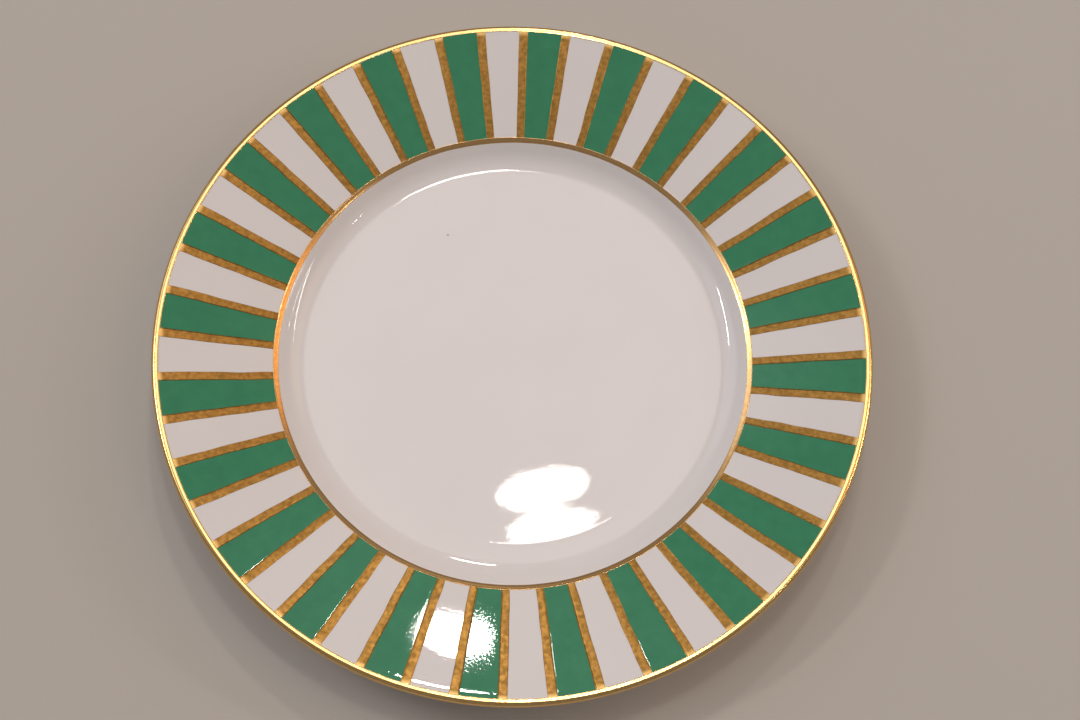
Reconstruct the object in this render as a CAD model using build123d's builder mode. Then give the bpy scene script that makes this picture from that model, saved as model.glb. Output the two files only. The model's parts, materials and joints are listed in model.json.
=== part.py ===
from build123d import *
import os
from math import cos, radians, sin, tan

# China dinner plate, in millimetres. The origin is the centre of the plane that the foot rests on,
# +Z is up, and the first green panel is centred on +X.
#
# A plate is fired several times, and each firing adds a layer that is modelled here as its own piece:
# the porcelain body, the clear glaze, the green enamel of the rim panels, and last the gold.

# --- Face of the plate, over the glaze ---
plate_diameter = 270.0  # over the gold of the lip
rim_slope = 15.7  # degrees that the rim climbs from the shoulder to the lip
shoulder_diameter = 179.0  # where the line of the rim meets the line of the wall
shoulder_round = 5.0  # radius that rounds the shoulder
wall_slope = 43.0  # degrees that the wall climbs from the well to the shoulder
wall_rise = 6.3  # height of the shoulder above the floor of the well
cove_round = 13.5  # radius of the hollow between the floor and the wall

# --- Thickness and back, over the glaze ---
lip_thickness = 3.0
rim_taper = 1.0  # degrees by which the back of the rim is steeper than its face
wall_thickness = 3.9
well_thickness = 3.8
back_shoulder_round = 9.0
back_cove_round = 7.0  # radius that turns the back of the wall into the underside of the well

# --- Foot ring ---
foot_height = 2.7  # from the table to the underside of the well
foot_inset = 5.6  # from the bottom of the back wall in to the ring's outer edge
foot_width = 4.2  # from the outer to the inner edge at the table
foot_draft = 12.0  # degrees that both sides of the ring lean in towards the table
foot_root_round = 1.9  # radius where the ring grows out of the well
foot_edge_round = 0.9  # radius that breaks both edges at the table
bare_foot_height = 1.2  # the glaze is wiped off the ring below this height

# --- Thickness of the layers ---
glaze_thickness = 0.2
enamel_thickness = 0.12
gold_thickness = 0.1

# --- Painted pattern of the rim ---
panel_count = 24
panel_outer_width = 14.0
panel_inner_width = 8.95
spoke_outer_width = 3.35
spoke_inner_width = 2.8
verge_width = 2.4  # gold on the face, in from the lip
verge_return = 2.0  # gold that goes round the lip and in on the back
shoulder_line_width = 1.7
shoulder_line_offset = 1.4  # from the corner of the shoulder out to the line's outer edge

# --- Levels and radii that follow ---
plate_radius = plate_diameter / 2
glazed_radius = plate_radius - gold_thickness
well_floor_z = foot_height + well_thickness
shoulder_r = shoulder_diameter / 2
shoulder_z = well_floor_z + wall_rise
wall_foot_r = shoulder_r - wall_rise / tan(radians(wall_slope))
panel_inner_r = shoulder_r + shoulder_line_offset
panel_outer_r = plate_radius - verge_width
panel_pitch = 360 / panel_count
headroom = plate_diameter  # taller than the plate, for the shapes that trim it


def crossing(point, slope, other_point, other_slope):
    """Where two straight lines of the section meet, each given by a point and its slope in degrees."""
    line = Axis((*point, 0), (cos(radians(slope)), sin(radians(slope)), 0))
    other = Axis((*other_point, 0), (cos(radians(other_slope)), sin(radians(other_slope)), 0))
    meeting = line.intersect(other)
    return (meeting.X, meeting.Y)


# The lip is a half round, tangent to the face and to the back of the rim.
lip_round = lip_thickness / 2
lip_r = glazed_radius - lip_round
lip_z = shoulder_z + (lip_r - shoulder_r) * tan(radians(rim_slope)) - lip_round / cos(radians(rim_slope))
back_slope = rim_slope + rim_taper
lip_face = (lip_r - lip_round * sin(radians(rim_slope)), lip_z + lip_round * cos(radians(rim_slope)))
lip_back = (lip_r + lip_round * sin(radians(back_slope)), lip_z - lip_round * cos(radians(back_slope)))

# The back of the wall lies one wall thickness behind its face, and ends at the underside of the well.
wall_back = (
    shoulder_r + wall_thickness * sin(radians(wall_slope)),
    shoulder_z - wall_thickness * cos(radians(wall_slope)),
)
back_shoulder = crossing(lip_back, back_slope, wall_back, wall_slope)
back_wall_foot = crossing(wall_back, wall_slope, (0, foot_height), 0)

# The foot ring is drawn one glaze thickness too long, because its bare edge is found by taking the
# glaze off the whole section.
foot_r = back_wall_foot[0] - foot_inset
foot_inner_r = foot_r - foot_width
outer_flank = 90 - foot_draft
inner_flank = 90 + foot_draft
foot_top = crossing((foot_r, 0), outer_flank, (0, foot_height), 0)
foot_outer_edge = crossing((foot_r, 0), outer_flank, (0, -glaze_thickness), 0)
foot_inner_edge = crossing((foot_inner_r, 0), inner_flank, (0, -glaze_thickness), 0)
recess_edge = crossing((foot_inner_r, 0), inner_flank, (0, foot_height), 0)
drawn_edge_round = foot_edge_round + glaze_thickness

os.makedirs("parts", exist_ok=True)


def save(piece, name):
    """Name a finished piece and write it to its own STEP file."""
    piece.label = name
    export_step(piece, f"parts/{name}.step")
    size = piece.bounding_box().size
    print(f"{name}: {len(piece.solids())} solids, {size.X:.1f} x {size.Y:.1f} x {size.Z:.1f} mm")


# --- Sections ---
# Both halves are drawn, so that a section grown or shrunk by a layer has no hole at the axis.
with BuildSketch(Plane.XZ) as glazed_section:
    with BuildLine():
        face = FilletPolyline(
            (0, well_floor_z),
            (wall_foot_r, well_floor_z),
            (shoulder_r, shoulder_z),
            lip_face,
            radius=[cove_round, shoulder_round],
        )
        TangentArc(lip_face, lip_back, tangent=face % 1)
        FilletPolyline(
            lip_back,
            back_shoulder,
            back_wall_foot,
            foot_top,
            foot_outer_edge,
            foot_inner_edge,
            recess_edge,
            (0, foot_height),
            radius=[
                back_shoulder_round,
                back_cove_round,
                foot_root_round,
                drawn_edge_round,
                drawn_edge_round,
                foot_root_round,
            ],
        )
        Line((0, foot_height), (0, well_floor_z))
    make_face()
    mirror(about=Plane.YZ)

with BuildSketch(Plane.XZ) as porcelain_section:
    add(glazed_section.sketch_local)
    offset(amount=-glaze_thickness)

with BuildSketch(Plane.XZ) as glaze_section:
    add(glazed_section.sketch_local)
    add(porcelain_section.sketch_local, mode=Mode.SUBTRACT)
    split(bisect_by=Plane.YZ)
    with Locations((0, bare_foot_height)):
        Rectangle(headroom, headroom, align=(Align.MIN, Align.MIN), mode=Mode.INTERSECT)
recess_glaze_section, outer_glaze_section = glaze_section.sketch_local.faces().sort_by(SortBy.AREA)

with BuildSketch(Plane.XZ) as enamel_film:
    add(glazed_section.sketch_local)
    offset(amount=enamel_thickness)
    add(glazed_section.sketch_local, mode=Mode.SUBTRACT)

with BuildSketch(Plane.XZ) as gold_film:
    add(glazed_section.sketch_local)
    offset(amount=gold_thickness)
    add(glazed_section.sketch_local, mode=Mode.SUBTRACT)


# --- Porcelain body, in one piece with its foot ring ---
with BuildPart() as porcelain_body:
    with BuildSketch(Plane.XZ):
        add(porcelain_section.sketch_local)
        split(bisect_by=Plane.YZ)
    revolve(axis=Axis.Z)
save(porcelain_body.part, "porcelain_body")


# --- Clear glaze over the face, the lip and the back, and a second field inside the foot ring ---
with BuildPart() as clear_glaze:
    with BuildSketch(Plane.XZ):
        add(outer_glaze_section)
    revolve(axis=Axis.Z)
save(clear_glaze.part, "clear_glaze")

with BuildPart() as foot_recess_glaze:
    with BuildSketch(Plane.XZ):
        add(recess_glaze_section)
    revolve(axis=Axis.Z)
save(foot_recess_glaze.part, "foot_recess_glaze")


# --- Gold verge: round the lip, from the ends of the panels to a little way in on the back ---
with BuildPart() as gold_verge_band:
    with BuildSketch(Plane.XZ):
        with Locations((panel_outer_r, lip_z)):
            Rectangle(headroom, headroom, align=(Align.MIN, Align.MIN))
        with Locations((plate_radius - verge_return, lip_z)):
            Rectangle(headroom, headroom, align=(Align.MIN, Align.MAX))
        add(gold_film.sketch_local, mode=Mode.INTERSECT)
    revolve(axis=Axis.Z)
save(gold_verge_band.part, "gold_verge_band")


# --- Gold line on the shoulder ---
with BuildPart() as gold_shoulder_line:
    with BuildSketch(Plane.XZ):
        with Locations((panel_inner_r, shoulder_z - wall_thickness / 2)):
            Rectangle(shoulder_line_width, headroom, align=(Align.MAX, Align.MIN))
        add(gold_film.sketch_local, mode=Mode.INTERSECT)
    revolve(axis=Axis.Z)
save(gold_shoulder_line.part, "gold_shoulder_line")


# --- Green panels, each with a gold spoke down both of its long sides ---
# A film lies on the back of the rim as well as on its face, and only the one on the face is painted.
with BuildSketch(Plane.XZ) as enamel_field:
    with Locations((panel_inner_r, lip_z)):
        Rectangle(panel_outer_r - panel_inner_r, headroom, align=(Align.MIN, Align.CENTER))
    add(enamel_film.sketch_local, mode=Mode.INTERSECT)
enamel_on_face = enamel_field.sketch_local.faces().sort_by(Axis.Y)[-1]

with BuildSketch(Plane.XZ) as gold_field:
    with Locations((panel_inner_r, lip_z)):
        Rectangle(panel_outer_r - panel_inner_r, headroom, align=(Align.MIN, Align.CENTER))
    add(gold_film.sketch_local, mode=Mode.INTERSECT)
gold_on_face = gold_field.sketch_local.faces().sort_by(Axis.Y)[-1]


def half_width(r, inner_width, outer_width):
    """Half the width, at radius r, of a shape that widens evenly along the panels."""
    run = (r - panel_inner_r) / (panel_outer_r - panel_inner_r)
    return (inner_width + (outer_width - inner_width) * run) / 2


def tapered_outline(inner_width, outer_width, mode=Mode.ADD):
    """Plan of a panel along +X, run on past both of its ends, which the painted film already has."""
    inner_half = half_width(wall_foot_r, inner_width, outer_width)
    outer_half = half_width(plate_radius, inner_width, outer_width)
    corners = [
        (wall_foot_r, -inner_half),
        (plate_radius, -outer_half),
        (plate_radius, outer_half),
        (wall_foot_r, inner_half),
    ]
    Polygon(*corners, align=None, mode=mode)


for number in range(panel_count):
    angle = number * panel_pitch
    first_side = Plane.XZ.rotated((0, 0, angle - panel_pitch / 2))
    plan = Plane.XY.rotated((0, 0, angle))

    with BuildPart() as green_panel:
        with BuildSketch(first_side):
            add(enamel_on_face)
        revolve(axis=Axis.Z, revolution_arc=panel_pitch)
        with BuildSketch(plan):
            tapered_outline(panel_inner_width, panel_outer_width)
        extrude(amount=headroom, mode=Mode.INTERSECT)
    save(green_panel.part, f"green_panel_{number + 1:02d}")

    with BuildPart() as gold_spokes:
        with BuildSketch(first_side):
            add(gold_on_face)
        revolve(axis=Axis.Z, revolution_arc=panel_pitch)
        with BuildSketch(plan):
            tapered_outline(
                panel_inner_width + 2 * spoke_inner_width,
                panel_outer_width + 2 * spoke_outer_width,
            )
            tapered_outline(panel_inner_width, panel_outer_width, mode=Mode.SUBTRACT)
        extrude(amount=headroom, mode=Mode.INTERSECT)
    save(gold_spokes.part, f"gold_spokes_{number + 1:02d}")
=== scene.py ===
# %% [markdown]
# # A gilded china dinner plate
#
# A plate like this is one piece of porcelain that goes through the kiln several times. Each firing adds
# a layer: clear glaze, then green enamel on the rim, then gold. This lesson lays the same layers one over
# another around a finished CAD model, which says where everything is, and gives each of them the finish
# that its own firing leaves.

# %% Load the CAD model as a fixed frame
import json
from math import ceil, copysign, cos, pi, radians, sin, tan

import bpy
import numpy as np
from mathutils import Matrix, Vector, noise

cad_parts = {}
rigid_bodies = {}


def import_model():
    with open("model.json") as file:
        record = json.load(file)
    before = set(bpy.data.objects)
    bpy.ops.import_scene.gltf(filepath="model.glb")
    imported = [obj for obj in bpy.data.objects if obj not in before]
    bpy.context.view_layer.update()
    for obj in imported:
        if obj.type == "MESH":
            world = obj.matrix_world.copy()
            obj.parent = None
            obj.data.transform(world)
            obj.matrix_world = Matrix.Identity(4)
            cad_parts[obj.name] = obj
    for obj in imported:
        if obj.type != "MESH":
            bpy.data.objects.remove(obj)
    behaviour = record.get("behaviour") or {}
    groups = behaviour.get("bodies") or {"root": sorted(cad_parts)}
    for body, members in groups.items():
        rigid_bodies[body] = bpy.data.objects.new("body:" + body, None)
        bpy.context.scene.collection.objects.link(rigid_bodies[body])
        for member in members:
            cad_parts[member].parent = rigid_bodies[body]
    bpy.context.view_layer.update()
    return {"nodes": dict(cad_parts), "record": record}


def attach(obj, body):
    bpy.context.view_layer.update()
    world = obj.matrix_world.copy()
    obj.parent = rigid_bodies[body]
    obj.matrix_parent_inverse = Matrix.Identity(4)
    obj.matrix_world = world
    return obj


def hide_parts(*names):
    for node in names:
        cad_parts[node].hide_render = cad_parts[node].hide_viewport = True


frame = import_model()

MM = 0.001

# %% [markdown]
# ## Reading the sizes
#
# The CAD nodes already know where the paint starts and stops. Every painted layer is a part of a ring, so
# its smallest and largest distance from the axis are nearly all that has to be read from it.

# %% Measure the layers in the CAD model, in millimetres


def corners_of(node):
    """The corners of a CAD node's mesh, as rows of x, y, z in millimetres."""
    mesh = frame["nodes"][node].data
    points = np.empty(len(mesh.vertices) * 3)
    mesh.vertices.foreach_get("co", points)
    return points.reshape(-1, 3) / MM


def reach(node):
    """Smallest and largest distance of a CAD node from the plate's axis."""
    points = corners_of(node)
    distance = np.hypot(points[:, 0], points[:, 1])
    return float(distance.min()), float(distance.max())


panel_count = sum(name.startswith("green_panel_") for name in frame["nodes"])
panel_inner_r, panel_outer_r = reach("green_panel_01")
line_inner_r, line_outer_r = reach("gold_shoulder_line")
plate_r = reach("gold_verge_band")[1]
bare_foot_z = float(corners_of("clear_glaze")[:, 2].min())
well_floor = next(mount for mount in frame["record"]["mounts"] if mount["name"] == "well_floor")
well_z = well_floor["pos_m"][2] / MM
print(panel_count, "green panels, from radius", round(panel_inner_r, 2), "to", round(panel_outer_r, 2))
print("floor of the well at", round(well_z, 2), "| glaze stops on the foot at", round(bare_foot_z, 2))

# %% [markdown]
# ## The section of the plate
#
# A plate is turned, so its whole form is one line in a half plane: across the floor of the well, up the
# cove and the wall, over the shoulder, out along the rim, round the lip, and home along the back and the
# foot ring. A potter's template is cut to that line. A Bezier curve could draw it, but straight lines
# joined by true arcs keep the crisp shoulder and the even rim that a template gives, so the line is
# written as its corners and the radius that rounds each of them.

# %% The corners of the section, over the glaze, in millimetres
glaze_thickness = 0.2
enamel_thickness = 0.12
gold_thickness = 0.1

rim_slope = radians(15.7)
rim_back_slope = radians(16.7)
wall_slope = radians(43.0)
wall_rise = 6.3
wall_thickness = 3.9
lip_round = 1.5
foot_height = 2.7
foot_inset = 5.6
foot_width = 4.2
foot_draft = radians(12.0)
flat_r = 72.4
lead_slope = radians(3.0)
shoulder_r = line_outer_r - 1.4
shoulder_z = well_z + wall_rise


def crossing(point, slope, other_point, other_slope):
    """Where two lines of the section meet, each given by a point and its slope."""
    lines = np.array([[cos(slope), -cos(other_slope)], [sin(slope), -sin(other_slope)]])
    run = np.linalg.solve(lines, np.subtract(other_point, point))[0]
    return (point[0] + run * cos(slope), point[1] + run * sin(slope))


lip_r = plate_r - gold_thickness - lip_round
lip_z = shoulder_z + (lip_r - shoulder_r) * tan(rim_slope) - lip_round / cos(rim_slope)
lip_face = (lip_r - lip_round * sin(rim_slope), lip_z + lip_round * cos(rim_slope))
lip_back = (lip_r + lip_round * sin(rim_back_slope), lip_z - lip_round * cos(rim_back_slope))
wall_back = (shoulder_r + wall_thickness * sin(wall_slope), shoulder_z - wall_thickness * cos(wall_slope))
wall_foot = crossing((flat_r, well_z), lead_slope, (shoulder_r, shoulder_z), wall_slope)
back_shoulder = crossing(lip_back, rim_back_slope, wall_back, wall_slope)
back_wall_foot = crossing(wall_back, wall_slope, (0, foot_height), 0)
foot_r = back_wall_foot[0] - foot_inset
print("foot ring from radius", round(foot_r - foot_width, 1), "to", round(foot_r, 1))


def foot_corner(r, lean, z):
    """A corner of the foot ring: where the flank that stands at radius r reaches the height z."""
    return crossing((r, 0), pi / 2 + lean, (0, z), 0)


# Each corner is r, z and the radius that rounds it. The floor of the well is flat only out to flat_r. From
# there it lifts by a few tenths of a millimetre before the cove, which is where a lamp's reflection in the
# well is cut off. The foot is drawn one glaze thickness too long, because the bare porcelain under it is
# found by taking the glaze off the whole section.
face_corners = [
    (0, well_z, 0),
    (flat_r, well_z, 20.0),
    (*wall_foot, 13.5),
    (shoulder_r, shoulder_z, 5.0),
    (*lip_face, 0),
]
back_corners = [
    (*lip_back, 0),
    (*back_shoulder, 9.0),
    (*back_wall_foot, 7.0),
    (*foot_corner(foot_r, -foot_draft, foot_height), 1.9),
    (*foot_corner(foot_r, -foot_draft, -glaze_thickness), 1.1),
    (*foot_corner(foot_r - foot_width, foot_draft, -glaze_thickness), 1.1),
    (*foot_corner(foot_r - foot_width, foot_draft, foot_height), 1.9),
    (0, foot_height, 0),
]

# %% [markdown]
# ## From corners to one line
#
# The line is walked from the middle of the well to the middle of the underside. At each corner the walk
# turns along an arc, and on straight stretches it takes even steps, so that the faces made from it later
# stay short and shade well.

# %% Walk along the corners
arc_step = radians(5)
longest_step = 4.0


def arc(centre, radius, heading, turn):
    """Points of an arc that is walked with this first heading, turning left if turn is positive."""
    side = copysign(radius, turn)
    steps = max(2, ceil(abs(turn) / arc_step))
    headings = [heading + turn * k / steps for k in range(steps + 1)]
    return [(centre[0] + side * sin(h), centre[1] - side * cos(h)) for h in headings]


def rounded(corners):
    """The walk through the corners, with an arc of its own radius at each inner one."""
    walk = [corners[0][:2]]
    for before, corner, after in zip(corners, corners[1:], corners[2:]):
        heading = np.arctan2(corner[1] - before[1], corner[0] - before[0])
        leaving = np.arctan2(after[1] - corner[1], after[0] - corner[0])
        turn = (leaving - heading + pi) % (2 * pi) - pi
        radius = corner[2]
        setback = radius * tan(abs(turn) / 2)
        side = copysign(radius, turn)
        centre = (
            corner[0] - setback * cos(heading) - side * sin(heading),
            corner[1] - setback * sin(heading) + side * cos(heading),
        )
        walk += arc(centre, radius, heading, turn)
    return walk + [corners[-1][:2]]


def in_steps(walk):
    """The same walk with no step longer than longest_step, as rows of r, z."""
    points = [walk[0]]
    for before, after in zip(walk, walk[1:]):
        run = np.subtract(after, before)
        pieces = max(1, ceil(np.hypot(*run) / longest_step))
        points += [tuple(np.add(before, run * k / pieces)) for k in range(1, pieces + 1)]
    return np.array(points)


lip_arc = arc((lip_r, lip_z), lip_round, rim_slope, rim_back_slope - rim_slope - pi)
section = in_steps(rounded(face_corners) + lip_arc[1:-1] + rounded(back_corners))
print("section:", len(section), "points, highest", round(float(section[:, 1].max()), 2), "mm")

# %% [markdown]
# ## Standing on the glaze
#
# Everything painted on the plate has to follow the glaze closely. Three small tables do that: how far each
# point is along the walk, where it is, and which way is straight out of the glaze there. The glaze itself
# is not quite even: it gathers in a low swell just inside the lip, which catches a thin line of light.

# %% Measure along the section and square to it
swell_r = 131.0
swell_width = 0.7
swell_height = 0.02

heading = np.gradient(section, axis=0)
outward = np.stack([-heading[:, 1], heading[:, 0]], axis=1)
outward /= np.linalg.norm(outward, axis=1)[:, None]
outward[[0, -1]] = [(0, 1), (0, -1)]
along = np.concatenate([[0], np.cumsum(np.hypot(*np.diff(section, axis=0).T))])
lip_along = float(along[np.argmax(section[:, 0])])


def on_glaze(distance, height=0.0):
    """r and z of points this far along the walk and this high over the glaze. Both may be arrays."""
    r, z = (np.interp(distance, along, section[:, k]) for k in (0, 1))
    out_r, out_z = (np.interp(distance, along, outward[:, k]) for k in (0, 1))
    length = np.hypot(out_r, out_z)
    lifted = height + swell_height * np.exp(-(((r - swell_r) / swell_width) ** 2)) * (distance < lip_along)
    return r + lifted * out_r / length, z + lifted * out_z / length


def along_at(r):
    """How far along the walk the face of the plate reaches radius r."""
    face = along <= lip_along
    return float(np.interp(r, section[face, 0], along[face]))


swell_steps = along_at(swell_r) + np.arange(-2.0, 2.1, 0.4)
print("walk over the face:", round(lip_along, 1), "mm, whole walk:", round(float(along[-1]), 1), "mm")

# %% [markdown]
# ## Putting a mesh in place
#
# Every piece rides on the one body of the plate, stands for the CAD node whose place it takes, and gets
# its material. One function does all three, so none is forgotten.

# %% Make a piece from rings of points


def stand_in(name, points_mm, faces, material, node):
    """A smooth mesh piece, from points in millimetres, that takes the place of a CAD node."""
    mesh = bpy.data.meshes.new(name)
    mesh.from_pydata((np.asarray(points_mm) * MM).tolist(), [], faces)
    mesh.materials.append(material)
    mesh.shade_smooth()
    mesh.set_sharp_from_angle(angle=radians(50))
    piece = bpy.data.objects.new(name, mesh)
    bpy.context.scene.collection.objects.link(piece)
    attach(piece, "root")
    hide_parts(node)


def woven(rows, columns, around=False):
    """Faces between rows and columns of points. With around, the last row joins the first."""
    last = rows if around else rows - 1
    return [
        (near + j, far + j, far + j + 1, near + j + 1)
        for near, far in ((i * columns, (i + 1) % rows * columns) for i in range(last))
        for j in range(columns - 1)
    ]


# %% [markdown]
# ## Turning
#
# The porcelain and its glaze are turned bodies. Blender's Screw modifier could spin an outline, but here
# the rings of points are written out, because the middle of the plate then closes in one clean fan
# instead of a stack of points on the axis.

# %% Turn an outline round the axis
turns_per_panel = 12
turns = panel_count * turns_per_panel
print("segments round the plate:", turns)


def turned(name, outline, material, node):
    """A solid turned from an outline, rows of r and z in mm, that starts and ends on the axis."""
    angles = np.arange(turns) * 2 * pi / turns
    inner = outline[1:-1]
    rings = np.stack(
        [
            np.outer(np.cos(angles), inner[:, 0]),
            np.outer(np.sin(angles), inner[:, 0]),
            np.tile(inner[:, 1], (turns, 1)),
        ],
        axis=-1,
    )
    points = np.concatenate([rings.reshape(-1, 3), [(0, 0, outline[0, 1]), (0, 0, outline[-1, 1])]])
    columns = len(inner)
    start_pole, end_pole = turns * columns, turns * columns + 1
    faces = woven(turns, columns, around=True)
    for i in range(turns):
        beside = (i + 1) % turns
        faces.append((start_pole, beside * columns, i * columns))
        faces.append((end_pole, i * columns + columns - 1, beside * columns + columns - 1))
    faces = [face[::-1] for face in faces]
    stand_in(name, points, faces, material, node)


# %% [markdown]
# ## Laying a film
#
# Enamel and gold are films a tenth of a millimetre thick that follow the glaze. They could be planes
# pushed out by a Solidify modifier, but a fired film is not even: it draws up into a low bead along its
# sides. So each film is a grid of points, told how far along the walk, at which angle round the plate and
# how high over the glaze every point is, and its rim of points is sunk into the glaze to close it.

# %% Lay a film over the glaze
sunk = -0.05


def laid_film(name, distances, angles, heights, material, slot, node, around=False):
    """Films from grids of distance along the walk (mm), angle and height (mm), joined in one piece."""
    points, faces = [], []
    for distance, angle, height in zip(distances, angles, heights):
        rows, columns = distance.shape
        base = len(points)
        border = np.zeros((rows, columns), bool)
        border[:, [0, -1]] = True
        if not around:
            border[[0, -1], :] = True
        top_r, top_z = on_glaze(distance, np.where(border, sunk, height))
        under_r, under_z = on_glaze(distance, sunk)
        for r, z in ((top_r, top_z), (under_r, under_z)):
            grid = np.stack([r * np.cos(angle), r * np.sin(angle), z], axis=-1)
            points += list(grid.reshape(-1, 3))
        under = np.arange(rows * columns) + base + rows * columns
        under[border.ravel()] -= rows * columns
        for face in woven(rows, columns, around):
            faces.append(tuple(base + k for k in face[::-1]))
            faces.append(tuple(int(under[k]) for k in face))
    used = np.unique(np.concatenate(faces))
    renumbered = {int(old): new for new, old in enumerate(used)}
    faces = [tuple(renumbered[k] for k in face) for face in faces]
    stand_in(name, np.array(points)[used], faces, material, node)


def bead(gap, thickness):
    """Height of a fired film this far in from its edge, both in mm: a low bead, then an even film."""
    return thickness * (1 - np.exp(-gap / 0.04)) * (1 + 0.3 * np.exp(-(((gap - 0.14) / 0.08) ** 2)))


def edge_steps(length, middle_step):
    """Places along a length, in mm, that are close together where the bead is and even between."""
    near = [0.0, 0.05, 0.11, 0.18, 0.28, 0.42]
    middle = np.linspace(near[-1], length - near[-1], max(2, ceil(length / middle_step)))
    return np.concatenate([near[:-1], middle, [length - step for step in near[-2::-1]]])


# %% [markdown]
# ## Colours and nodes
#
# Colours are written the way a colour chart gives them, as sRGB, and turned to the linear values that the
# renderer adds and multiplies. Patterns are scaled from a real size, so a note like "ripples 1 mm apart"
# can be checked against the plate. Image textures could carry the same marks, but noise worked out from
# each point's place has no seams and stays sharp from close by.

# %% Helpers for the finishes


def linear(chart_hex):
    """A colour from its sRGB chart value, such as #F3ECEB, to linear red, green, blue and alpha."""
    parts = [int(chart_hex[k : k + 2], 16) / 255 for k in (1, 3, 5)]
    return (*[p / 12.92 if p <= 0.04045 else ((p + 0.055) / 1.055) ** 2.4 for p in parts], 1.0)


def add(tree, kind, inputs=None, **settings):
    """Add a node with its settings, its input values and its links, and return it."""
    made = tree.nodes.new("ShaderNode" + kind)
    for name, value in settings.items():
        setattr(made, name, value)
    for socket, value in (inputs or {}).items():
        if isinstance(value, bpy.types.NodeSocket):
            tree.links.new(value, made.inputs[socket])
        else:
            made.inputs[socket].default_value = value
    return made


def finish_named(name):
    """An empty material: its tree, its shader and the place of each point in the plate's frame."""
    material = bpy.data.materials.new(name)
    material.use_nodes = True
    tree = material.node_tree
    tree.nodes.clear()
    shader = add(tree, "BsdfPrincipled")
    add(tree, "OutputMaterial", {"Surface": shader.outputs["BSDF"]})
    place = add(tree, "TexCoord").outputs["Object"]
    return material, tree, shader, place


def per_metre(size_mm):
    """The scale of a pattern whose marks are this far apart."""
    return 1 / (size_mm * MM)


def from_axis(tree, place):
    """The way from the plate's axis to each point, seen from above, and how long it is in metres."""
    way = add(tree, "VectorMath", {0: place, 1: (1.0, 1.0, 0.0)}, operation="MULTIPLY").outputs["Vector"]
    return way, add(tree, "VectorMath", {0: way}, operation="LENGTH").outputs["Value"]


# %% [markdown]
# ## Glazed porcelain
#
# The white is clear feldspar glaze, a glass, over a warm white body. The glaze could be true glass over
# the biscuit, but 0.2 mm of it bends no light that anyone can see and costs many bounces, so one opaque
# shader with a glassy surface stands for both. Glass has an IOR of about 1.5 and a fired gloss glaze is
# almost perfectly smooth, so the roughness is close to zero. What makes it read as china and not as
# plastic is what the molten glaze kept: long shallow waves, faint rings from the turning of the body,
# and a fine ripple, drawn here a little coarser than life so that it shows. A gloss glaze also holds an
# odd dark speck of iron, and this plate has one in its well.

# %% Make the glaze
glaze_wave = 16.0
glaze_ripple = 1.0
turning_gap = 1.3
turning_length = 9.0
speck_place = (-30.6, 49.0, 6.5)
speck_size = 0.7

china_glaze, tree, shader, place = finish_named("clear_glaze_over_porcelain")
shader.inputs["IOR"].default_value = 1.5
shader.inputs["Roughness"].default_value = 0.015
cloud = add(tree, "TexNoise", {"Vector": place, "Scale": per_metre(30), "Detail": 2.0})
body_colour = add(
    tree,
    "Mix",
    {"Factor": cloud.outputs["Fac"], "A": linear("#F0E8E6"), "B": linear("#F5EEEC")},
    data_type="RGBA",
)
speck_gap = add(
    tree,
    "VectorMath",
    {0: place, 1: [c * MM for c in speck_place]},
    operation="DISTANCE",
)
speck = add(
    tree,
    "MapRange",
    {
        "Value": speck_gap.outputs["Value"],
        "From Min": 0.2 * speck_size * MM,
        "From Max": speck_size * MM,
        "To Min": 0.55,
        "To Max": 0.0,
    },
)
china_colour = add(
    tree,
    "Mix",
    {"Factor": speck.outputs["Result"], "A": body_colour.outputs["Result"], "B": linear("#6F6A68")},
    data_type="RGBA",
)
tree.links.new(china_colour.outputs["Result"], shader.inputs["Base Color"])
wave = add(tree, "TexNoise", {"Vector": place, "Scale": per_metre(glaze_wave), "Detail": 1.0})
ripple = add(tree, "TexNoise", {"Vector": place, "Scale": per_metre(glaze_ripple), "Detail": 2.0})
way_out, distance_out = from_axis(tree, place)
unit_way = add(tree, "VectorMath", {0: way_out}, operation="NORMALIZE").outputs["Vector"]
way_round = add(tree, "VectorMath", {0: unit_way, "Scale": turning_length * MM}, operation="SCALE")
across = add(tree, "CombineXYZ", {"Z": distance_out})
turned_place = add(tree, "VectorMath", {0: way_round.outputs["Vector"], 1: across.outputs["Vector"]})
rings = add(
    tree,
    "TexNoise",
    {"Vector": turned_place.outputs["Vector"], "Scale": per_metre(turning_gap), "Detail": 1.0},
)
off_centre = add(tree, "MapRange", {"Value": distance_out, "From Max": 30 * MM})
ring_share = {0: rings.outputs["Fac"], 1: off_centre.outputs["Result"]}
ring_height = add(tree, "Math", ring_share, operation="MULTIPLY")
normal = None
for height, relief_mm in (
    (wave.outputs["Fac"], 0.02),
    (ring_height.outputs["Value"], 0.003),
    (ripple.outputs["Fac"], 0.0026),
):
    bump = add(tree, "Bump", {"Height": height, "Distance": relief_mm * MM, "Strength": 1.0})
    if normal:
        tree.links.new(normal, bump.inputs["Normal"])
    normal = bump.outputs["Normal"]
tree.links.new(normal, shader.inputs["Normal"])
print("glaze:", len(tree.nodes), "nodes, waves", glaze_wave, "mm, ripple", glaze_ripple, "mm apart")

# %% [markdown]
# ## Biscuit porcelain
#
# The foot ring stands on the kiln shelf, so its glaze is wiped off before firing. What is left is
# biscuit: vitrified but unglazed, dry to the touch, and greyed where it has slid over other plates. One
# noise could drive everything, but grain and wear differ in size by twenty times, so each has its own.

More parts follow.
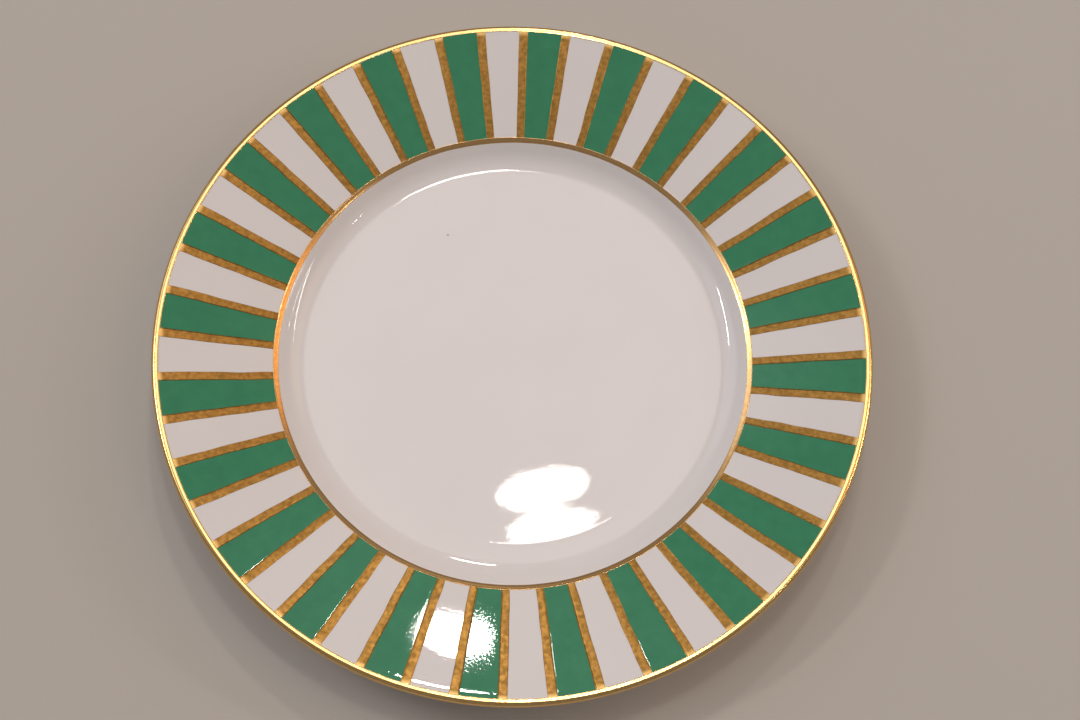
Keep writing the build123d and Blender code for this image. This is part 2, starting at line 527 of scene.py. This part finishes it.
# %% Make the bare porcelain
biscuit, tree, shader, place = finish_named("biscuit_porcelain")
shader.inputs["IOR"].default_value = 1.5
grain = add(tree, "TexNoise", {"Vector": place, "Scale": per_metre(0.35), "Detail": 3.0})
wear = add(tree, "TexNoise", {"Vector": place, "Scale": per_metre(6), "Detail": 3.0})
biscuit_colour = add(
    tree,
    "Mix",
    {"Factor": wear.outputs["Fac"], "A": linear("#DED7CE"), "B": linear("#F1EBE3")},
    data_type="RGBA",
)
biscuit_roughness = add(
    tree,
    "MapRange",
    {"Value": wear.outputs["Fac"], "From Min": 0.3, "From Max": 0.7, "To Min": 0.5, "To Max": 0.75},
)
biscuit_bump = add(tree, "Bump", {"Height": grain.outputs["Fac"], "Distance": 0.02 * MM, "Strength": 1.0})
tree.links.new(biscuit_colour.outputs["Result"], shader.inputs["Base Color"])
tree.links.new(biscuit_roughness.outputs["Result"], shader.inputs["Roughness"])
tree.links.new(biscuit_bump.outputs["Normal"], shader.inputs["Normal"])
print("biscuit:", len(tree.nodes), "nodes")

# %% [markdown]
# ## Green enamel
#
# On-glaze enamel is a coloured lead or borax glass, printed or brushed on and fired cooler than the
# glaze. It is glossy, but never as smooth as the glaze below: the colour is laid in short strokes, so it
# lies a little thicker here and thinner there. That shows as a faint mottle and a busy fine ripple. A
# higher roughness would only blur a lamp in it, so the gloss stays and the ripple breaks the lamp's
# reflection into glitter.

# %% Make the enamel
enamel_mottle = 5.0
enamel_stipple = 1.0

green_enamel, tree, shader, place = finish_named("green_on_glaze_enamel")
shader.inputs["IOR"].default_value = 1.55
shader.inputs["Roughness"].default_value = 0.02
mottle = add(tree, "TexNoise", {"Vector": place, "Scale": per_metre(enamel_mottle), "Detail": 4.0})
enamel_colour = add(
    tree,
    "Mix",
    {"Factor": mottle.outputs["Fac"], "A": linear("#388460"), "B": linear("#46976E")},
    data_type="RGBA",
)
stipple = add(tree, "TexNoise", {"Vector": place, "Scale": per_metre(enamel_stipple), "Detail": 2.0})
pooling = add(tree, "Bump", {"Height": mottle.outputs["Fac"], "Distance": 0.006 * MM, "Strength": 1.0})
enamel_ripple = add(
    tree,
    "Bump",
    {
        "Height": stipple.outputs["Fac"],
        "Distance": 0.0075 * MM,
        "Strength": 1.0,
        "Normal": pooling.outputs["Normal"],
    },
)
tree.links.new(enamel_colour.outputs["Result"], shader.inputs["Base Color"])
tree.links.new(enamel_ripple.outputs["Normal"], shader.inputs["Normal"])
print("enamel:", len(tree.nodes), "nodes, mottle", enamel_mottle, "mm, stipple", enamel_stipple, "mm")

# %% [markdown]
# ## Fired gold
#
# Liquid gold is brushed on last and fired to a film of metal, so it is fully metallic. Laid by hand it
# comes out satin: brighter where the brush left more, browner where it left less. The spokes stay like
# that, except at their outer ends, where their gold is painted paler: a painted highlight for the light
# caught where the rim turns up to the lip. On the lip the gold sits on the smooth round of the glaze and
# every cloth rubs it, so the same metal is paler and shinier there, and the line on the shoulder is
# halfway between. One material could do all three with a mask, but three materials made by one function
# can each be changed alone.

# %% Make the three golds


def fired_gold(name, thin_hex, full_hex, smooth, rough, relief_mm, painted_highlight_from=None):
    """Gold between two tones and two roughnesses, mottled as brushed gold is, with a painted highlight past a
    radius.
    """
    material, tree, shader, place = finish_named(name)
    shader.inputs["Metallic"].default_value = 1.0
    blotch = add(tree, "TexNoise", {"Vector": place, "Scale": per_metre(1.6), "Detail": 4.0})
    strength = add(
        tree, "MapRange", {"Value": blotch.outputs["Fac"], "From Min": 0.36, "From Max": 0.64}
    )
    tone = add(
        tree,
        "Mix",
        {"Factor": strength.outputs["Result"], "A": linear(thin_hex), "B": linear(full_hex)},
        data_type="RGBA",
    )
    tone = tone.outputs["Result"]
    # Past this radius the tone fades into pale gold over 1.6 mm. This is a painted highlight where the rim
    # turns up to the lip.
    if painted_highlight_from:
        fade = {"From Min": painted_highlight_from * MM, "From Max": (painted_highlight_from + 1.6) * MM}
        fade["Value"] = from_axis(tree, place)[1]
        pale = add(tree, "MapRange", fade).outputs["Result"]
        both = {"Factor": pale, "A": tone, "B": linear("#E8BC76")}
        tone = add(tree, "Mix", both, data_type="RGBA").outputs["Result"]
    satin = add(
        tree,
        "MapRange",
        {"Value": blotch.outputs["Fac"], "From Min": 0.3, "From Max": 0.7, "To Min": rough, "To Max": smooth},
    )
    relief = add(
        tree, "Bump", {"Height": blotch.outputs["Fac"], "Distance": relief_mm * MM, "Strength": 1.0}
    )
    tree.links.new(tone, shader.inputs["Base Color"])
    tree.links.new(satin.outputs["Result"], shader.inputs["Roughness"])
    tree.links.new(relief.outputs["Normal"], shader.inputs["Normal"])
    return material


# The spokes' gold starts fading into the painted highlight 2.1 mm inside the panels' outer ends.
painted_highlight_r = panel_outer_r - 2.1
satin_gold = fired_gold("fired_gold_satin", "#8F6934", "#B38443", 0.34, 0.42, 0.016, painted_highlight_r)
rubbed_gold = fired_gold("fired_gold_rubbed", "#E8BC76", "#F0C886", 0.14, 0.20, 0.002)
line_gold = fired_gold("fired_gold_line", "#E4B272", "#EEC084", 0.18, 0.26, 0.004)
print("golds:", [gold.name for gold in (satin_gold, rubbed_gold, line_gold)])

# %% [markdown]
# ## First firing: the porcelain body
#
# The biscuit body is the section less its coat of glaze. Only its foot ring is ever seen, but the whole
# body is there, so that the plate stays whole if its glaze is lifted off in the library.

# %% Turn the porcelain body
body_outline = np.stack(on_glaze(along, -glaze_thickness), axis=1)
body_outline[[0, -1], 0] = 0
turned("porcelain_body_biscuit", body_outline, biscuit, "porcelain_body")
print("body:", len(body_outline), "points in its outline")

# %% [markdown]
# ## Second firing: the glaze
#
# The glaze is two shells: one over the face, round the lip and down the back to the bare foot, and
# a round field inside the foot ring. Each is closed by walking out along its skin and back underneath.

# %% Turn the two fields of glaze
foot_bottom = along[np.argmin(section[:, 1])]
back_walk = (along > lip_along) & (along < foot_bottom)
past_foot = along >= foot_bottom
outer_stop = float(np.interp(-bare_foot_z, -section[back_walk, 1], along[back_walk]))
inner_start = float(np.interp(bare_foot_z, section[past_foot, 1], along[past_foot]))
closest_step = 0.1


def glaze_shell(steps):
    """Outline of a shell of glaze: its skin along these steps, and back under it to the axis."""
    skin = np.stack(on_glaze(steps, 0.0), axis=1)
    under = np.stack(on_glaze(steps, -glaze_thickness), axis=1)
    outline = np.concatenate([skin, under[::-1]])
    outline[[0, -1], 0] = 0
    return outline


outer_steps = np.union1d(along[along < outer_stop - closest_step], np.append(swell_steps, outer_stop))
recess_steps = np.append(along[along > inner_start + closest_step][::-1], inner_start)
turned("clear_glaze_skin", glaze_shell(outer_steps), china_glaze, "clear_glaze")
recess = glaze_shell(recess_steps)[::-1]
turned("foot_recess_glaze_skin", recess, china_glaze, "foot_recess_glaze")
print("glaze ends on the foot after", round(outer_stop, 1), "mm of walk")

# %% [markdown]
# ## Third firing: the green panels
#
# The panels are laid out with dividers and painted between two lines, so they sit a hair off their even
# places and their sides wander by about a tenth of a millimetre. An Array modifier would make 24 perfect
# copies. Here each panel is laid on its own, with errors drawn from noise with a fixed seed, so the plate
# comes out the same each time. The enamel thins out at its two ends, where the gold rings lie over it.

# %% Lay the green panels
panel_inner_width, panel_outer_width = 8.95, 14.0
spoke_inner_width, spoke_outer_width = 2.8, 3.35
pitch = 2 * pi / panel_count
place_error = radians(0.12)
width_error = 0.12
side_wander = 0.10
hand = np.random.RandomState(24)
panel_angles = np.arange(panel_count) * pitch + hand.uniform(-place_error, place_error, panel_count)
width_errors = hand.uniform(-width_error, width_error, (panel_count, 2))


def width_at(r, inner_width, outer_width):
    """Width at radius r of a shape that widens evenly from the shoulder line to the verge."""
    return inner_width + (outer_width - inner_width) * (r - panel_inner_r) / (panel_outer_r - panel_inner_r)


def wander(r, number, side):
    """How far the brush strays from its line at radius r, in mm."""
    trails = [Vector((value / 9.0, number * 7.3, side * 3.1)) for value in r]
    return np.array([side_wander * 2 * noise.noise(trail) for trail in trails])


def side_of_panel(r, number, side):
    """Sideways distance, in mm, from the panel's middle line to its painted edge. Side is -1 or 1."""
    half = width_at(r, panel_inner_width, panel_outer_width) / 2 + width_errors[number, (side + 1) // 2] / 2
    return side * (half + wander(r, number, side))


run_start, run_stop = along_at(panel_inner_r), along_at(panel_outer_r)
run_length = run_stop - run_start
swell_on_panel = swell_steps[swell_steps < run_stop - 0.5]
run_steps = np.union1d(run_start + edge_steps(run_length, 1.6), swell_on_panel)
run_r = on_glaze(run_steps)[0]
run_gap = np.minimum(run_steps - run_steps[0], run_steps[-1] - run_steps)


def strip(left, right, shares, gaps_from_left, height_at, centre_angle):
    """Grids for a film between two sideways edges that run along the rim."""
    offset = left[:, None] + (right - left)[:, None] * shares[None, :]
    angle = centre_angle + np.arcsin(offset / run_r[:, None])
    width = np.abs(right - left)[:, None]
    height = height_at(gaps_from_left[None, :] * width, width)
    return np.repeat(run_steps[:, None], len(shares), axis=1), angle, height


usual_panel_width = 11.5
panel_shares = edge_steps(usual_panel_width, 1.3) / usual_panel_width
end_thinning = 0.12


def end_thinness():
    """What is left of a film's height along the rim, as a share: all of it, except at its two ends."""
    return (1 - np.exp(-((run_gap / end_thinning) ** 2)))[:, None]


def enamel_height(gap, width):
    """Height of the enamel: a bead along its two long sides, thinning out at its ends under the gold."""
    return bead(np.minimum(gap, width - gap), enamel_thickness) * end_thinness()


for number in range(panel_count):
    left, right = (side_of_panel(run_r, number, side) for side in (-1, 1))
    grids = strip(left, right, panel_shares, panel_shares, enamel_height, panel_angles[number])
    node = f"green_panel_{number + 1:02d}"
    laid_film(node + "_enamel", *[[grid] for grid in grids], green_enamel, "green_enamel", node)
print(panel_count, "green panels,", round(run_length, 1), "mm long")

# %% [markdown]
# ## Last firing: the gold spokes
#
# A gold line closes each long side of a green panel. The gilder lets it ride a little way up onto the
# enamel, so that no bare glaze shows between the two. That step shows as a thin bright ridge beside the
# green, so the gold here climbs the enamel's bead too.

# %% Lay the gold spokes
overlap = 0.22
usual_spoke_width = 3.1
spoke_shares = edge_steps(usual_spoke_width, 0.55) / usual_spoke_width


def spoke_height(gap, width):
    """Height of the gold across a spoke, from the enamel that it overlaps to the bare glaze."""
    over_enamel = enamel_thickness * 1.25 / (1 + np.exp((gap - overlap) / 0.05))
    return (over_enamel + bead(np.minimum(gap, width - gap), gold_thickness)) * end_thinness()


for number in range(panel_count):
    node = f"gold_spokes_{number + 1:02d}"
    strips = []
    for side in (-1, 1):
        near = side_of_panel(run_r, number, side) - side * overlap
        spoke_width = width_at(run_r, spoke_inner_width, spoke_outer_width)
        far = near + side * (spoke_width + overlap + wander(run_r, number + 50, side))
        grids = strip(near, far, spoke_shares, spoke_shares, spoke_height, panel_angles[number])
        strips.append(grids if side > 0 else [grid[:, ::-1] for grid in grids])
    laid_film(node + "_gold", *zip(*strips), satin_gold, "fired_gold", node)
print(2 * panel_count, "gold spokes, overlapping the green by", overlap, "mm")

# %% [markdown]
# ## The gold band and the gold line
#
# The band on the lip and the line on the shoulder are painted with the plate turning on a wheel, against
# a brush held still. They run true, but their edges breathe with the load of the brush. They could be
# turned like the glaze, but then their edges would be perfect circles, so they are laid as films too, and
# lifted where they cover the ends of the panels and spokes.

# %% Lay the verge band and the shoulder line
ring_angles = np.arange(turns) * 2 * pi / turns
face_breath, back_breath = 0.10, 0.06
ends_ride = 0.4


def breathing(seed, amount):
    """A slow wander of a line's edge round the plate, in mm, that joins up with itself."""
    spots = [Vector((3.5 * cos(a), 3.5 * sin(a), seed)) for a in ring_angles]
    fine = [Vector((14 * cos(a), 14 * sin(a), seed + 5)) for a in ring_angles]
    return np.array([amount * (noise.noise(a) + 0.6 * noise.noise(b)) for a, b in zip(spots, fine)])


def ring_film(name, start, stop, middle_step, seed, material, node, panels_before):
    """A gold ring between two distances along the walk, lifted over the panels' ends on one side."""
    first = start + breathing(seed, face_breath)
    last = stop + breathing(seed + 1, back_breath)
    shares = edge_steps(stop - start, middle_step) / (stop - start)
    distance = first[:, None] + (last - first)[:, None] * shares[None, :]
    angle = np.repeat(ring_angles[:, None], len(shares), axis=1)
    gap = np.minimum(distance - first[:, None], last[:, None] - distance)
    from_panels = distance - first[:, None] if panels_before else last[:, None] - distance
    over_ends = (enamel_thickness + 0.02) * np.exp(-((from_panels / ends_ride) ** 2))
    height = bead(gap, gold_thickness) + over_ends
    laid_film(name, [distance], [angle], [height], material, "fired_gold", node, around=True)


verge_return = 2.0
verge_over_panels, line_over_panels = 0.35, 0.3
face_side = along_at(panel_outer_r) - verge_over_panels
back_side = float(np.interp(-(plate_r - verge_return), -section[back_walk, 0], along[back_walk]))
ring_film("gold_verge_band_gold", face_side, back_side, 0.35, 11, rubbed_gold, "gold_verge_band", True)
line_start, line_stop = along_at(line_inner_r), along_at(line_outer_r) + line_over_panels
ring_film("gold_shoulder_line_gold", line_start, line_stop, 0.4, 31, line_gold, "gold_shoulder_line", False)
print("verge band:", round(back_side - face_side, 1), "mm wide over the lip")
print("shoulder line:", round(line_stop - line_start, 2), "mm wide")

# %% [markdown]
# ## The table and the light
#
# China is shown in soft light from overhead: the white then falls off gently round the cove, and the gold
# has something bright and something dark to reflect. A picture of a real room could light it, but
# a dim dome with a few soft round patches, one over the plate, a cooler one on the left and a warmer one
# on the right, does the same with no picture and no hard edge in the reflections.

# %% Put the plate on a pale floor under a soft dome
turn_of_room = radians(3.21)


def in_room(x, y, z):
    """A direction or place in the room, turned with the camera's side of the plate."""
    return Matrix.Rotation(turn_of_room, 3, "Z") @ Vector((x, y, z))


floor_mesh = bpy.data.meshes.new("pale_floor")
floor_mesh.from_pydata([(-4, -4, 0), (4, -4, 0), (4, 4, 0), (-4, 4, 0)], [], [(0, 1, 2, 3)])
floor = bpy.data.objects.new("pale_floor", floor_mesh)
bpy.context.scene.collection.objects.link(floor)
floor_paint, tree, shader, place = finish_named("pale_matt_floor")
shader.inputs["Base Color"].default_value = linear("#C9C1B8")
shader.inputs["Roughness"].default_value = 0.85
floor_mesh.materials.append(floor_paint)

dome = bpy.data.worlds.new("soft_dome")
bpy.context.scene.world = dome
dome.use_nodes = True
dome.node_tree.nodes.clear()
sight = add(dome.node_tree, "TexCoord").outputs["Generated"]


def soft_patch(direction, core, edge, brightness):
    """A round patch of light in this direction, even within core degrees and gone beyond edge degrees."""
    towards = Vector(direction).normalized()
    facing = add(dome.node_tree, "VectorMath", {0: sight, 1: towards}, operation="DOT_PRODUCT")
    fade = {"From Min": cos(radians(edge)), "From Max": cos(radians(core)), "To Max": brightness}
    fade["Value"] = facing.outputs["Value"]
    return add(dome.node_tree, "MapRange", fade, interpolation_type="SMOOTHSTEP").outputs["Result"]


dome_light = add(dome.node_tree, "Background", {"Color": linear("#FFFBFA"), "Strength": 0.22})
for chart_hex, patch in (
    ("#FFFBFA", soft_patch((0.0, 0.34, 0.94), 6, 16, 1.75)),
    ("#EAF1FF", soft_patch((-0.68, 0.25, 0.68), 12, 25, 1.15)),
    ("#FFFBFA", soft_patch((0.02, 0.66, 0.75), 5, 18, 0.27)),
    ("#FFC484", soft_patch((0.63, 0.30, 0.71), 11, 21, 1.05)),
):
    glow = add(dome.node_tree, "Background", {"Color": linear(chart_hex), "Strength": patch})
    both = {0: dome_light.outputs[0], 1: glow.outputs[0]}
    dome_light = add(dome.node_tree, "AddShader", both)
add(dome.node_tree, "OutputWorld", {"Surface": dome_light.outputs[0]})

# %% [markdown]
# ## Small lamps
#
# What tells the eye that a glaze is glass is a crisp, bright highlight. The soft dome can't give one, and
# a point lamp gives only a dot, so a few small oval lamps hang round the plate: two over the well, one
# beyond the far rim, and thin ones low at the sides, whose reflections the cove draws out into crescents.

# %% Hang the small lamps


def hang_lamp(name, one_end, other_end, depth, brightness=32.0):
    """A long oval lamp from end to end, facing the plate. Places and depth are in metres."""
    one_end, other_end = Vector(one_end), Vector(other_end)
    light = bpy.data.lights.new(name, "AREA")
    light.shape = "ELLIPSE"
    light.size = (other_end - one_end).length
    light.size_y = depth
    light.energy = brightness * pi * (pi / 4 * light.size * depth)
    light.color = (1.0, 0.96, 0.9)
    lamp = bpy.data.objects.new(name, light)
    bpy.context.scene.collection.objects.link(lamp)
    middle = (one_end + other_end) / 2
    length_axis = (other_end - one_end).normalized()
    depth_axis = middle.cross(length_axis).normalized()
    turned_to_plate = Matrix((length_axis, depth_axis, length_axis.cross(depth_axis))).transposed().to_4x4()
    lamp.matrix_world = Matrix.Translation(middle) @ turned_to_plate


hang_lamp("lamp_over_well", (-0.031, 0.312, 1.40), (0.074, 0.345, 1.40), 0.047)
hang_lamp("lamp_over_well_low", (-0.014, 0.260, 1.40), (0.114, 0.279, 1.40), 0.074)
hang_lamp("lamp_far", (-0.046, 1.120, 1.40), (0.062, 1.102, 1.40), 0.052, 150.0)
hang_lamp("lamp_right", (0.90, -0.25, 1.30), (0.92, -0.16, 1.30), 0.05)
hang_lamp("lamp_low_right", (1.35, -0.010, 0.59), (1.08, 0.57, 0.96), 0.028)
hang_lamp("lamp_lowest_right", (1.254, -0.061, 0.567), (1.230, 0.465, 0.402), 0.015)
hang_lamp("lamp_left", (-1.13, -0.01, 1.08), (-0.93, 0.40, 1.205), 0.065)
print("lamps:", [light.name for light in bpy.data.lights])

# %% [markdown]
# ## The camera
#
# The plate is seen from above and a little from the front, as by someone about to set it down, with
# a moderate lens that keeps its circle nearly round.

# %% Set up the camera
camera_distance = 0.6595
camera_elevation = radians(70.19)
aside, aloft, tilt = radians(-0.867), radians(-0.475), radians(2.41)

lens = bpy.data.cameras.new("camera")
lens.lens = 58.62
lens.sensor_width = 36.0
camera = bpy.data.objects.new("camera", lens)
bpy.context.scene.collection.objects.link(camera)
camera.location = in_room(0, -cos(camera_elevation), sin(camera_elevation)) * camera_distance
camera.location.z += lip_z * MM
camera.rotation_euler = (
    Matrix.Rotation(turn_of_room, 3, "Z")
    @ Matrix.Rotation(pi / 2 - camera_elevation, 3, "X")
    @ Matrix.Rotation(aside, 3, "Y")
    @ Matrix.Rotation(aloft, 3, "X")
    @ Matrix.Rotation(tilt, 3, "Z")
).to_euler()
bpy.context.scene.camera = camera
bpy.context.scene.view_settings.view_transform = "Standard"
print("camera", round(camera_distance, 3), "m from the plate")
